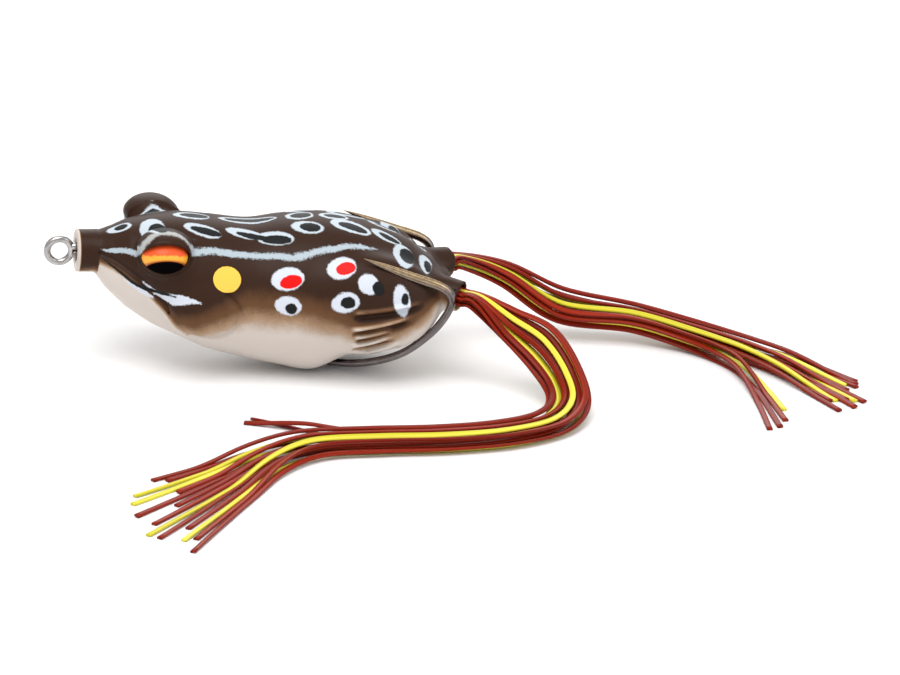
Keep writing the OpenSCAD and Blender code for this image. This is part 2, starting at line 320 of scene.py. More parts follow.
# How far the innermost strands stray from the bundle, in shares of its width, and where
STRAYS = {"left": (1.3, 1.75), "right": (0.95, 0.8, 0.72, 0.66)}
STRAY_SPAN = {"left": (9, 10.6), "right": (4.8, 8.6)}
# Where the layers come down to the floor
SETTLE = {"left": (10, 12.4), "right": (5.7, 8.9)}
STRAY_SETTLE = {"left": (9.6, 10.4), "right": (6, 7.4)}


def strand_points(side_name, k, t):
    """Points at t along a strand, and the way across the leg there."""
    inner, outer = (cubic(g, t) for g in GUIDES[side_name])
    nudge = 0.02
    before, after = (sum(cubic(g, t + d) for g in GUIDES[side_name]) for d in (-nudge, nudge))
    spread = outer - inner
    lift = np.cross(after - before, spread)
    lift /= np.linalg.norm(lift, axis=1)[:, None]
    stray, settle = np.zeros_like(t), SETTLE[side_name]
    if k < len(STRAYS[side_name]):
        start, stop = STRAY_SPAN[side_name]
        stray = STRAYS[side_name][k] * ease((t - start) / (stop - start))
        settle = STRAY_SETTLE[side_name]
    pitch = ROOT_PITCH + (LOOSE_PITCH - ROOT_PITCH) * ease(t / 3)
    height = LAYER_OF[k % LAYERS] * pitch * (1 - ease((t - settle[0]) / (settle[1] - settle[0])))
    share = k / (STRANDS - 1) - stray
    return inner + share[:, None] * spread + height[:, None] * lift, spread


def sweep(path, outlines, wide=None):
    """Vertices and faces of a closed tube: outlines[i] is the outline in [across, up] at path[i].

    Across is level, or as near as it can be to wide[i].
    """
    path = np.asarray(path, float)
    travel = np.gradient(path, axis=0)
    travel /= np.linalg.norm(travel, axis=1)[:, None]
    across = np.cross([0, 0, 1.0], travel) if wide is None else wide
    across = across - (across * travel).sum(1)[:, None] * travel
    across /= np.linalg.norm(across, axis=1)[:, None]
    up = np.cross(travel, across)
    outlines = np.asarray(outlines)
    n = outlines.shape[1]
    vertices = (path[:, None] + outlines[:, :, :1] * across[:, None]
                + outlines[:, :, 1:] * up[:, None]).reshape(-1, 3)
    faces = []
    for i in range(len(path) - 1):
        for j in range(n):
            a, b = i * n + j, i * n + (j + 1) % n
            faces.append((a, b, b + n, a + n))
    faces.append(tuple(range(n - 1, -1, -1)))
    faces.append(tuple(range((len(path) - 1) * n, len(path) * n)))
    return vertices, faces


def strand_material(name, base, shade):
    """Glossy silicone strip, with fine mould lines along it and painted shade on its edges."""
    paint = Paint(name)
    along, across = paint.field("along"), paint.field("across")
    place = paint.node("ShaderNodeCombineXYZ", {}, X=paint.math("MULTIPLY", along, 0.012),
                       Y=paint.math("MULTIPLY", across, 2.2), Z=paint.field("strand_number"))
    grain = paint.noise(1.0, 3.0, place.outputs[0])
    tone = paint.ramp(grain, 0.3, 0.72)
    # Painted shade: the edges of the strip are darkened towards the shade colour
    edge = paint.ramp(paint.math("ABSOLUTE", across), 0.2, 0.36)
    base_mix = paint.mix(tone, shade, base)
    paint.put(paint.shader.inputs["Base Color"], paint.mix(paint.math("MULTIPLY", edge, 0.35),
                                                           base_mix, shade))
    paint.shader.inputs["Roughness"].default_value = 0.34
    paint.shader.inputs["Specular IOR Level"].default_value = 0.16
    paint.bump(grain, 0.25, 0.0001)
    return paint.material


def strip_outlines(length, rng):
    """Rounded strip outlines that grow to full width and roll a little along the strand."""
    w, h = STRIP_W / 2, STRAND_T / 2
    one = np.array([(w, h - CORNER), (w - CORNER, h), (0, h), (CORNER - w, h), (-w, h - CORNER),
                    (-w, CORNER - h), (CORNER - w, -h), (0, -h), (w - CORNER, -h), (w, CORNER - h)])
    rings = np.repeat(one[None], len(length), axis=0)
    rings[:, :, 0] *= (0.84 + 0.16 * ease((length - 5) / 12))[:, None]
    waves = zip(rng.uniform(10, 26, 3), (11, 19, 37), rng.uniform(0, 6.28, 3))
    degrees = sum(a * np.sin(length / wave + phase) for a, wave, phase in waves)
    flat_end = 1 - 0.6 * ease((length - length[-1] + 45) / 30)
    roll = np.radians(degrees) * ease((length - 5) / 14) * flat_end
    c, s = np.cos(roll)[:, None], np.sin(roll)[:, None]
    x, y = rings[:, :, 0], rings[:, :, 1]
    return np.stack([x * c - y * s, x * s + y * c], axis=2)


def add_strand(side_name, side, k, rng, materials):
    end = ENDS[side_name][k]
    t = np.linspace(0, end, int(end / RING_STEP))
    free, spread = strand_points(side_name, k, t)
    # The hidden start runs straight back into the leg tube
    inside = free[0] - np.array(tube_run(side)) * np.linspace(*HIDDEN, HIDDEN_RINGS)[:, None]
    path = np.vstack([inside, free])
    wide = np.vstack([np.repeat(spread[:1], len(inside), axis=0), spread])
    # Each strand wanders a little from its place in the leg
    length = np.r_[0, np.cumsum(np.linalg.norm(np.diff(path, axis=0), axis=1))]
    waves = zip(rng.uniform(0.05, 0.16, 2), (9, 21), rng.uniform(0, 6.28, 2))
    stray = sum(a * np.sin(length / wave + phase) for a, wave, phase in waves)
    sideways = wide / np.linalg.norm(wide, axis=1)[:, None]
    path += sideways * (stray * ease((length - 8) / 12))[:, None]
    rings = strip_outlines(length, rng)
    path[:, 2] = np.maximum(path[:, 2], FLOOR_Z - rings[:, :, 1].min(axis=1) + 0.01)
    vertices, faces = sweep(path, rings, -wide)
    strand = make_mesh(f"{side_name}_skirt_strand_{k + 1}", vertices, faces)
    sides = rings.shape[1]
    add_field(strand, "along", np.repeat(length, sides))
    add_field(strand, "across", np.tile(rings[0, :, 0], len(path)))
    add_field(strand, "strand_number", np.full(len(vertices), 3.7 * k + side))
    slot = "strand_chartreuse" if k in YELLOW[side_name] else "strand_red_brown"
    strand.data.materials.append(materials[slot])
    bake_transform(strand)
    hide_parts(f"{side_name}_strand_{k + 1}")


def add_strands():
    colours = {
        "strand_red_brown": (colour(148, 37, 8), colour(108, 17, 2)),
        "strand_chartreuse": (colour(236, 226, 84), colour(196, 186, 38)),
    }
    materials = {name: strand_material(name, *pair) for name, pair in colours.items()}
    rng = np.random.default_rng(7)
    for side_name, side in SIDES.items():
        for k in range(STRANDS):
            add_strand(side_name, side, k, rng, materials)


# ---- Body shape -------------------------------------------------------------
# Stations: [X, half width, half height, centre height]
STATIONS = [
    (4.9, 3.0, 3.0, 0), (7.3, 4.6, 4.7, -1.1), (10.2, 6.9, 6.6, -1.9), (14.2, 8.8, 8.3, -2.8),
    (18.3, 9.9, 9.4, -3.6), (22.7, 10.5, 10.2, -4.8), (29.1, 10.9, 10.7, -5.9),
    (33.7, 11.6, 11.5, -6.1), (39, 12.1, 12.1, -6.3), (44.3, 11.9, 10.7, -5.5),
    (49.2, 11.2, 9.7, -6.1), (54.2, 9.8, 7.4, -6.2), (57.7, 7.9, 4.5, -5.9), (59.5, 6.2, 2.6, -5.6)
]
STATION_X = [s[0] for s in STATIONS]
COLLAR_R, COLLAR_END = 3.25, 5.7
TUBE_R, BORE_R, NOSE_BORE_R = 2.4, 2.0, 1.75
WALL = 1.5
SKIN_X = (4.4, 60.3)                             # where the plain body starts and ends
HOLLOW_X = (8, 56.5)                             # where the hollow does
# The slit for the hook in the belly: middle and half length, half width, and height of its top
SLIT_X, SLIT_HALF, SLIT_SIDE, SLIT_TOP = 43.4, 6.1, 3.5, -10
# Rounded forms on each side: [middle], [radii]
THIGH = ((47, 8.6, -5.6), (10.5, 4.4, 7.5))
KNEE = ((40.5, 9.6, -6.4), (3.6, 3.0, 2.6))
EYE_BUMP = ((15, 7.9, 2.5), (4.1, 3.8, 3.6))
CHEEK = ((21.4, 9.1, -6.8), (5.7, 1.9, 4.2))
EYE = (14.9, 8.1, 2.2)                           # middle of the right eyeball
EYE_R, EYE_LOW_R = 3.65, 2.8                     # its radius, and its radius upwards
OPENING_HALF = (3.6, 2.4)                        # half length and half height of the eye opening
OPENING_DEPTH = 7.2                              # distance of its floor from the middle plane


def section(x):
    """Half width, half height and centre height of the body at x."""
    t = np.interp(x, STATION_X, np.arange(len(STATION_X)))
    s = cubic(STATIONS, t)
    return s[..., 1], s[..., 2], s[..., 3]


def to_line(x, z, points):
    """Side-view distance to a smooth line through points, height over it, and share along it."""
    line = cubic(points, np.linspace(0, len(points) - 1, 5 * len(points)))
    best, above, share = (np.full(x.shape, v) for v in (1e9, 0.0, 0.0))
    for i, (a, b) in enumerate(zip(line[:-1], line[1:])):
        d = b - a
        t = np.clip(((x - a[0]) * d[0] + (z - a[1]) * d[1]) / (d @ d), 0, 1)
        away = np.hypot(x - a[0] - t * d[0], z - a[1] - t * d[1])
        near = away < best
        cross = (d[0] * (z - a[1]) - d[1] * (x - a[0])) / math.sqrt(d @ d)
        best = np.where(near, away, best)
        above = np.where(near, cross, above)
        share = np.where(near, (i + t) / (len(line) - 1), share)
    return best, above, share


def ellipsoid(x, y, z, centre, radii):
    """Distance to an ellipsoid, close to true near its surface."""
    u, v, w = (x - centre[0]) / radii[0], (y - centre[1]) / radii[1], (z - centre[2]) / radii[2]
    r = np.sqrt(u * u + v * v + w * w) + 1e-9
    return (r - 1) * r / np.sqrt((u / radii[0]) ** 2 + (v / radii[1]) ** 2 + (w / radii[2]) ** 2)


def tube(x, y, z, start, end, radius):
    """Distance to a flat-ended cylinder."""
    a, b = np.array(start, float), np.array(end, float)
    axis = (b - a) / np.linalg.norm(b - a)
    p = [x - a[0], y - a[1], z - a[2]]
    run = p[0] * axis[0] + p[1] * axis[1] + p[2] * axis[2]
    away = np.sqrt(np.maximum(p[0] ** 2 + p[1] ** 2 + p[2] ** 2 - run ** 2, 0))
    return np.maximum(away - radius, np.maximum(-run, run - np.linalg.norm(b - a)))


# Side-view lines [X, Z]
MOUTH_LINE = [(5.8, 0.6), (8.4, 0), (11.3, -1.7), (13.5, -3.6), (15.2, -5.5), (16.9, -7.8),
              (18.6, -9.6), (21.2, -10.8), (24.1, -10.6), (26, -8.9), (26.6, -7), (26.4, -5.4),
              (24.7, -3.6)]
TOE_LINES = [[(43.3, -5.5), (49, -4.9), (55, -4)], [(43.3, -8.4), (48.3, -7.4), (53.3, -6.1)],
             [(44, -9.8), (47, -9.1), (50.2, -8.2)], [(43.6, -11.6), (47, -10.6), (50.5, -9.3)],
             [(45.8, -12.9), (48.6, -12), (51.6, -10.8)]]
TOE_REACH = 2.5                                  # how far from its line a toe is felt
TOE_GROOVE = 0.95                                # from the crest of a toe down to the groove under it


def plain_body(x, y, z, half_w, half_h, centre):
    """Distance to the body without its relief, from its stations."""
    u, v = y / half_w, (z - centre) / half_h
    r = np.sqrt(u * u + v * v) + 1e-9
    plain = (r - 1) * r / np.sqrt((u / half_w) ** 2 + (v / half_h) ** 2 + 1e-12)
    return blend_max(plain, np.maximum(x - SKIN_X[1], SKIN_X[0] - x), 1.2)


def mouth_and_toes(d, x, y, z, flank):
    """The cheek, the fold of the mouth and the toes, felt only on the flanks."""
    fold, _, _ = to_line(x, z, MOUTH_LINE)
    d = blend_min(d, ellipsoid(x, y, z, *CHEEK), 1.4)
    d = d + flank * 0.5 * np.exp(-(fold / 0.45) ** 2)
    for line in TOE_LINES:
        away, above, share = to_line(x, z, line)
        fade = flank * ease(share / 0.2) * ease((1 - share) / 0.3) * (away < TOE_REACH)
        crest = 0.5 * np.exp(-(above / 0.36) ** 2)
        d = d - fade * (crest - 0.7 * np.exp(-((above + TOE_GROOVE) / 0.55) ** 2))
    return d


def eye_opening(d, x, y, z):
    """The opening for the eye, with a raised brow over it."""
    reach = np.hypot((x - EYE[0]) / OPENING_HALF[0], (z - EYE[2] - 0.2) / OPENING_HALF[1])
    brow = 0.45 * np.exp(-((reach - 1.22) * 3.6) ** 2) * ease((z - EYE[2]) / 2)
    d = d - np.where(y > 6, brow, 0)
    return blend_max(d, -np.maximum((reach - 1) * 2.6, OPENING_DEPTH - y), 0.4)


def hollowed(d, plain, x, y, z):
    """The body with its hollow, nose bore, leg-tube bores and belly slit taken out."""
    hollow = blend_max(plain + WALL, np.maximum(x - HOLLOW_X[1], HOLLOW_X[0] - x), 1.5)
    d = np.maximum(d, -hollow)
    d = np.maximum(d, -tube(x, y, z, (0, 0, 0), (12, 0, 0), NOSE_BORE_R))
    d = blend_max(d, -tube(x, y, z, out_of_tube(1, -12), out_of_tube(1, 2), BORE_R), 0.2)
    slit = np.maximum(np.abs(x - SLIT_X) - SLIT_HALF, np.maximum(y - SLIT_SIDE, z - SLIT_TOP))
    return blend_max(d, -slit, 0.5)


def body_distance(p):
    """Signed distance to the frog's outer and inner skin, below 0 in the material."""
    x, y, z = p[:, 0], np.abs(p[:, 1]), p[:, 2]
    half_w, half_h, centre = section(x)
    plain = plain_body(x, y, z, half_w, half_h, centre)
    d = blend_min(plain, ellipsoid(x, y, z, *THIGH), 2.5)
    d = blend_min(d, ellipsoid(x, y, z, *KNEE), 1.6)
    d = blend_min(d, ellipsoid(x, y, z, *EYE_BUMP), 1.3)
    d = mouth_and_toes(d, x, y, z, ease((y / half_w - 0.35) / 0.3))
    d = blend_min(d, tube(x, y, z, (NOSE_X, 0, 0), (COLLAR_END, 0, 0), COLLAR_R), 0.35)
    d = blend_min(d, tube(x, y, z, out_of_tube(1, -9), out_of_tube(1, 0), TUBE_R), 1.5)
    d = eye_opening(d, x, y, z)
    return hollowed(d, plain, x, y, z)


# ---- Mesh over a distance ------------------------------------------------------
COARSE = 4                                       # fine cells to each coarse one


def sample(distance, low, high, cell):
    """The distance on a grid, true near the surface and coarse elsewhere."""
    counts = [int(math.ceil((b - a) / (cell * COARSE))) * COARSE + 1 for a, b in zip(low, high)]
    axes = [a + cell * np.arange(n) for a, n in zip(low, counts)]
    grid = np.stack(np.meshgrid(*(a[::COARSE] for a in axes), indexing="ij"), -1)
    field = distance(grid.reshape(-1, 3)).reshape(grid.shape[:3])
    near = np.abs(field) < 2.2 * COARSE * cell
    for axis in range(3):
        field = np.repeat(field, COARSE, axis)
        near = np.repeat(near, COARSE, axis)
    trim = tuple(slice(0, n) for n in counts)
    shift = (-(COARSE // 2),) * 3
    field = np.roll(field, shift, (0, 1, 2))[trim].copy()
    near = np.roll(near, shift, (0, 1, 2))[trim].copy()
    where = np.argwhere(near)
    field[near] = distance(np.stack([axes[a][where[:, a]] for a in range(3)], 1))
    # The grid's own sides count as outside
    for axis in range(3):
        edge = [slice(None)] * 3
        for end in (0, -1):
            edge[axis] = end
            field[tuple(edge)] = np.maximum(field[tuple(edge)], 0.5)
    return field


def find_cuts(field, axis):
    """Which grid lines along an axis the surface cuts, how far along, and which start inside."""
    lo, hi = [slice(None)] * 3, [slice(None)] * 3
    lo[axis], hi[axis] = slice(0, -1), slice(1, None)
    a, b = field[tuple(lo)], field[tuple(hi)]
    cross = (a < 0) != (b < 0)
    share = np.where(cross, a / np.where(cross, a - b, 1), 0)
    return cross, share, a < 0


def net_vertices(cells, low, cell, cuts):
    """A vertex in each cell that the surface passes, and each cell's vertex number."""
    total, count = np.zeros(cells + (3,), np.float32), np.zeros(cells, np.int32)
    for axis, (cross, share, _) in enumerate(cuts):
        u, v = (o for o in range(3) if o != axis)
        for du, dv in ((0, 0), (0, 1), (1, 0), (1, 1)):
            part = [slice(None)] * 3
            part[u] = slice(du, du + cells[u])
            part[v] = slice(dv, dv + cells[v])
            here = cross[tuple(part)]
            total[..., axis] += share[tuple(part)]
            total[..., u] += here * du
            total[..., v] += here * dv
            count += here
    active = count > 0
    number = np.full(cells, -1, np.int64)
    number[active] = np.arange(active.sum())
    place = np.argwhere(active) + total[active] / count[active][:, None]
    return np.array(low) + cell * place, number


def net_faces(number, cuts):
    """A quad round each cut grid line, turned to face out."""
    cells = number.shape
    faces = []
    for axis, (cross, _, starts_inside) in enumerate(cuts):
        u, v = (axis + 1) % 3, (axis + 2) % 3
        at = np.argwhere(cross)
        keep = (at[:, u] > 0) & (at[:, v] > 0) & (at[:, u] < cells[u]) & (at[:, v] < cells[v])
        at = at[keep]
        corners = []
        for du, dv in ((-1, -1), (0, -1), (0, 0), (-1, 0)):
            c = at.copy()
            c[:, u] += du
            c[:, v] += dv
            corners.append(number[c[:, 0], c[:, 1], c[:, 2]])
        quads = np.stack(corners, 1)
        flip = ~starts_inside[at[:, 0], at[:, 1], at[:, 2]]
        quads[flip] = quads[flip][:, ::-1]
        faces.append(quads)
    return np.vstack(faces)


def settle(distance, vertices, cell):
    """The vertices moved onto the surface in three short steps."""
    step = 0.02
    for _ in range(3):
        value = distance(vertices)
        rise = [distance(vertices + step * way) - value for way in np.eye(3)]
        slope = np.stack(rise, 1) / step
        size = np.maximum((slope ** 2).sum(1), 0.15)
        move = (value / size)[:, None] * slope
        length = np.linalg.norm(move, axis=1)[:, None]
        vertices = vertices - move * np.minimum(1, 0.3 * cell / np.maximum(length, 1e-9))
    return vertices


def surface_net(distance, low, high, cell):
    """Vertices and quads over the surface where distance is 0."""
    field = sample(distance, low, high, cell)
    cuts = [find_cuts(field, axis) for axis in range(3)]
    cells = tuple(n - 1 for n in field.shape)
    vertices, number = net_vertices(cells, low, cell, cuts)
    return settle(distance, vertices, cell), net_faces(number, cuts)


GRID_LOW, GRID_HIGH = (1.7, -14.8, -19.6), (64.2, 14.8, 8.2)
SQUEEZE_NOSE_X = 4


def squeeze_plane():
    """A point on the plane that the back flattens towards, and its normal."""
    nose, tail = Vector((SQUEEZE_NOSE_X, 0, 0)), Vector((MOUTH[0], 0, MOUTH[2]))
    run = (tail - nose).normalized()
    return nose, Vector((-run.z, 0, run.x))


def keep_half(obj, name, above):
    """A copy of obj with only what lies above or below the squeeze plane."""
    half = obj.copy()
    half.data = obj.data.copy()
    half.name = name
    bpy.context.scene.collection.objects.link(half)
    point, normal = squeeze_plane()
    bm = bmesh.new()
    bm.from_mesh(half.data)
    bmesh.ops.bisect_plane(bm, geom=bm.verts[:] + bm.edges[:] + bm.faces[:], dist=1e-7,
                           plane_co=point * MM, plane_no=normal,
                           clear_inner=above, clear_outer=not above)
    bm.to_mesh(half.data)
    bm.free()
    return half


# ---- Paint on the body --------------------------------------------------------
# Marks are laid out on the skin by X and by girth: millimetres round from the middle of the back.
GIRTH_R = 11                                     # the round body that girth is counted on
# The pale rings on each side of the back: [X, girth, half length, half width, degrees]
RINGS = [
    (21.2, 4.6, 3.0, 1.6, 15), (27.6, 4.1, 2.9, 1.25, 12), (32.2, 5.3, 3.0, 1.5, 10),
    (37.4, 3.4, 2.6, 1.5, 12), (44.2, 2.8, 3.3, 1.8, 15), (49.8, 2.7, 2.5, 1.7, 18),
    (52.1, 7.1, 1.8, 3.6, 5), (55.8, 6.8, 1.2, 4.0, 5)
]
RING_DARK = [
    (21.7, 4.75, 2.3, 0.75, 10), (28.9, 4.7, 2.4, 0.5, 14), (32.4, 5.65, 2.2, 0.75, 9),
    (37.8, 3.5, 1.5, 0.85, 12), (44.5, 3.0, 2.2, 0.85, 16), (50.3, 2.9, 1.6, 0.75, 20),
    (52.7, 7.0, 1.1, 2.4, 5), (56.1, 7.8, 0.5, 2.2, 5)
]
# The row along the middle of the back, with its dark centres
MIDDLE_RINGS = [
    (20.0, 0, 2.9, 1.7, 0), (28.6, 0, 4.6, 1.35, 0), (36.6, 0, 2.3, 1.5, 0), (41.9, 0, 2.4, 1.3, 0)
]
MIDDLE_DARK = [
    (20.4, 0, 2.1, 0.9, 0), (28.9, 0, 3.7, 0.6, 0), (36.8, 0, 1.5, 0.85, 0), (42.1, 0, 1.6, 0.6, 0)
]
# The rings of the head differ from side to side: one by the nose, one on the eye bump
HEAD_RINGS = {
    "left": [(8.8, 2.3, 2.0, 2.1, 0), (13.6, 4.9, 2.0, 3.9, 0)],
    "right": [(8.8, 4.4, 1.8, 1.6, 0), (14.2, 5.2, 2.6, 1.5, 0)]
}
HEAD_DARK = {
    "left": [(9.1, 2.2, 0.9, 1.2, 0), (14.3, 5.9, 1.3, 2.6, 0)],
    "right": [(9.1, 4.4, 0.9, 0.9, 0), (14.5, 5.4, 1.2, 0.7, 0)]
}
# The spots of the flank
WHITE_SPOTS = [
    (33.7, 12.1, 2.5, 1.7, -10), (41.9, 10.9, 2.2, 1.6, 3),
    (33.8, 16, 2.0, 1.4, 4), (42.4, 15.6, 2.1, 1.35, 5), (45.9, 13.3, 1.6, 1.35, 0),
    (51.1, 15.1, 1.3, 2.2, -14)
]
BLACK_SPOTS = [
    (34.3, 16.4, 0.9, 0.8, 0), (42.8, 15.7, 1.15, 0.78, 15),
    (47.4, 13.7, 0.9, 0.95, 0), (51.6, 14.8, 0.6, 0.8, 0)
]
RED_SPOTS = [(34.2, 12.5, 1.75, 0.95, -15), (42.5, 11.1, 1.5, 0.9, 0)]
EAR_SPOT = (24.5, 13.0, 2.3, 1.95, -45)
# Brushed lines: [X, girth, half width]
STRIPES = [
    [(6.3, 11.7, 0.2), (7.4, 11.1, 0.7), (9.2, 10.6, 0.75), (10.8, 11.3, 0.6)],
    [(19.1, 9.9, 0.6), (22.1, 8.7, 0.6), (25.6, 8.6, 0.6), (29.1, 8.5, 0.5), (32, 8.5, 0.5),
     (34.4, 8.9, 0.5), (36.6, 8.5, 0.5), (38.9, 7.8, 0.5), (41.4, 7.7, 0.5), (42.8, 7.5, 0.5),
     (45.5, 7.4, 0.45), (48, 7.3, 0.05)]
]
BROW = [(11.1, 11.4, 0.3), (11.8, 10.2, 0.4), (13.4, 8.9, 0.4), (15.1, 8.6, 0.4), (16.9, 8.7, 0.38),
        (18, 9.3, 0.25), (19.1, 10.3, 0.15)]
LIP_WHITE = [
    [(9.4, 18.8, 0.2), (10.6, 19.1, 0.5), (12, 19.5, 0.6), (13.4, 19.9, 0.2)],
    [(11.9, 17.3, 0.15), (14, 18.7, 0.5), (16.1, 18.7, 0.85), (18.3, 18, 0.55), (20.6, 17.7, 0.05)]
]
LIP_DARK = [(6.1, 15.4, 0.3), (8.5, 17.1, 0.42), (10.7, 18.4, 0.42), (13, 18.6, 0.38),
            (15, 18.2, 0.3), (16.8, 18.1, 0.1)]
# Where the brown fades to cream: [X, Z], and over how far: [X, reach]
FADE_LINE = [(2.5, -2.7), (5, -2.2), (9, -3.4), (13, -5.4), (17, -8.6), (20, -8.8), (28, -5.8),
             (36, -6), (42, -7.2), (46, -9.4), (51, -8.6), (55, -6.4), (59, -6), (61, -6.2)]
FADE_REACH = [(2.5, 0.8), (6, 1.0), (14, 1.6), (20, 3.4), (28, 4.2), (40, 4), (56, 2.6), (60, 1.2)]
HEEL = ((57.6, -5.8), (1.7, 2.4))                # the pale heel: [X, Z], and its reach in each
THROAT_END = 18.6
LIP_EDGE = 0.55                                  # width of the unpainted rim of the nose
BROW_SHIFT = 1.5                                 # how much lower the right brow is painted
RING_TRIM = 0.12                                 # taken off both edges of each ring
FAR_AWAY = 9.0
# The marks in the order that they are painted: field, roughness and softness of the edge, colour
COATS = [
    ("stripe", 0.8, 0.22, (168, 180, 188)), ("brow", 0.4, 0.22, (168, 168, 166)),
    ("lip", 0.5, 0.12, (202, 208, 218)), ("ring", 0.35, 0.16, (186, 196, 204)),
    ("white", 0.35, 0.16, (202, 208, 218)), ("black", 0.28, 0.1, (26, 27, 28)),
    ("red", 0.2, 0.06, (232, 18, 16))
]


def spot(x, girth, mark):
    """Distance outside an oval mark."""
    cx, cg, long, wide, degrees = mark
    c, s = math.cos(math.radians(degrees)), math.sin(math.radians(degrees))
    u, v = x - cx, girth - cg
    a, b = (u * c + v * s) / long, (v * c - u * s) / wide
    r = np.hypot(a, b) + 1e-6
    return (r - 1) * r / np.hypot(a / long, b / wide)


def spots(x, girth, marks):
    """Distance outside the nearest of some oval marks."""
    best = np.full(x.shape, FAR_AWAY)
    for mark in marks:
        best = np.minimum(best, spot(x, girth, mark))
    return best


def brushed(x, girth, line):
    """Distance outside a brushed line of changing width."""
    points = cubic(line, np.linspace(0, len(line) - 1, 6 * len(line)))
    best = np.full(x.shape, FAR_AWAY)
    for a, b in zip(points[:-1], points[1:]):
        d = b[:2] - a[:2]
        t = np.clip(((x - a[0]) * d[0] + (girth - a[1]) * d[1]) / (d @ d), 0, 1)
        away = np.hypot(x - a[0] - t * d[0], girth - a[1] - t * d[1])
        best = np.minimum(best, away - (a[2] + t * (b[2] - a[2])))
    return best


def shade_field(x, y, z):
    """How brown the skin is, from 0 for cream to 1, with painted shade and highlight at the toes."""
    line, spread = (np.interp(x, *zip(*points)) for points in (FADE_LINE, FADE_REACH))
    shade = np.minimum((z - line + spread) / (2 * spread), 1.1)
    for toe in TOE_LINES:
        away, above, share = to_line(x, z, toe)
        fade = ease(share / 0.15) * ease((1 - share) / 0.3) * (away < TOE_REACH)
        # Painted shade in the groove under each toe, and a painted highlight along its crest
        shade = shade + 0.4 * fade * np.exp(-((above + TOE_GROOVE) / 0.5) ** 2)
        shade = shade - 0.5 * fade * np.exp(-((above - 0.1) / 0.4) ** 2)
    (heel_x, heel_z), (reach_x, reach_z) = HEEL
    heel = np.exp(-((x - heel_x) / reach_x) ** 2 - ((z - heel_z) / reach_z) ** 2)
    shade = shade - 0.55 * heel * (y > 5)
    fold, above, _ = to_line(x, z, MOUTH_LINE[:7])
    throat = (x > COLLAR_END) & (x < THROAT_END) & (above < 0)
    shade = np.where(throat, shade - ease(fold / 2.4) * 1.2, shade)
    shade = np.where(x < NOSE_X + LIP_EDGE, shade - 1.0, shade)
    return np.clip(shade, 0, 1)


def paint_fields(vertices):
    """The paint as numbers for each vertex."""
    x, y, z = vertices[:, 0], np.abs(vertices[:, 1]), vertices[:, 2]
    left = vertices[:, 1] < 0
    _, _, centre = section(x)
    girth = GIRTH_R * (math.pi / 2 - np.arctan2(z - centre, y))
    head_ring, head_dark = (np.where(left, spots(x, girth, marks["left"]),
                                     spots(x, girth, marks["right"]))
                            for marks in (HEAD_RINGS, HEAD_DARK))
    ring = np.minimum(spots(x, girth, RINGS + MIDDLE_RINGS), head_ring) + RING_TRIM
    ring_dark = np.minimum(spots(x, girth, RING_DARK + MIDDLE_DARK), head_dark) - RING_TRIM
    dark = np.minimum(brushed(x, girth, LIP_DARK), spots(x, girth, BLACK_SPOTS))
    return {
        "shade": shade_field(x, y, z),
        "ring": ring,
        "white": spots(x, girth, WHITE_SPOTS),
        "black": np.minimum(dark, ring_dark),
        "red": spots(x, girth, RED_SPOTS),
        "ear": spot(x, girth, EAR_SPOT),
        "stripe": np.minimum(brushed(x, girth, STRIPES[0]), brushed(x, girth, STRIPES[1])),
        "brow": brushed(x, np.where(left, girth, girth - BROW_SHIFT), BROW),
        "lip": np.minimum(brushed(x, girth, LIP_WHITE[0]), brushed(x, girth, LIP_WHITE[1])),
    }


def skin_material():
    """Soft satin skin, with the paint read from the fields of the mesh."""
    paint = Paint("frog_skin")
    shader = paint.shader.inputs
    shader["Specular IOR Level"].default_value = 0.1
    shader["Coat Weight"].default_value = 0.02
    shader["Coat Roughness"].default_value = 0.25
    mottle = paint.math("SUBTRACT", paint.noise(700.0, 4.0), 0.5)
    speckle = paint.math("SUBTRACT", paint.noise(4200.0, 3.0), 0.5)
    wobble = paint.math("SUBTRACT", paint.noise(1500.0, 2.0), 0.5)

    def inside(name, rough, soft):
        """1 inside a mark and 0 outside, with a hand-painted edge."""
        away = paint.math("ADD", paint.field(name), paint.math("MULTIPLY", wobble, rough))
        away = paint.math("ADD", away, paint.math("MULTIPLY", speckle, rough))
        return paint.math("SUBTRACT", 1.0, paint.ramp(away, -soft, soft))

    tone = paint.math("ADD", paint.field("shade"), paint.math("MULTIPLY", mottle, 0.16))
    tone = paint.math("ADD", tone, paint.math("MULTIPLY", speckle, 0.10))
    base = paint.mix(paint.ramp(tone, 0.02, 0.38), colour(205, 195, 187), colour(162, 133, 106))
    base = paint.mix(paint.ramp(tone, 0.3, 0.62), base, colour(98, 67, 44))
    base = paint.mix(paint.ramp(tone, 0.6, 1.0), base, colour(51, 32, 22))
    for name, rough, soft, tint in COATS:
        base = paint.mix(inside(name, rough, soft), base, colour(*tint))
    # The yellow ear spot lies in a thin dark ring
    ring = paint.math("SUBTRACT", 1.0, paint.ramp(paint.field("ear"), 0.1, 0.35))
    base = paint.mix(ring, base, colour(46, 30, 16))
    base = paint.mix(inside("ear", 0.12, 0.05), base, colour(246, 192, 80))
    paint.put(shader["Base Color"], base)
    paint.put(shader["Roughness"], paint.math("ADD", 0.4, paint.math("MULTIPLY", speckle, 0.15)))
    paint.bump(paint.noise(2600.0, 3.0), 0.10, 0.00008)
    return paint.material


def add_body():
    cell = 0.25
    vertices, faces = surface_net(body_distance, GRID_LOW, GRID_HIGH, cell)
    whole = make_mesh("frog_body", vertices, faces)
    for name, values in paint_fields(vertices).items():
        add_field(whole, name, values)
    whole.data.materials.append(skin_material())
    back = keep_half(whole, "frog_back", True)
    belly = keep_half(whole, "frog_belly", False)
    bpy.data.objects.remove(whole)
    for part in (back, belly):
        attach(part, "body")
        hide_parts("body_shell")
    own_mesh(back)


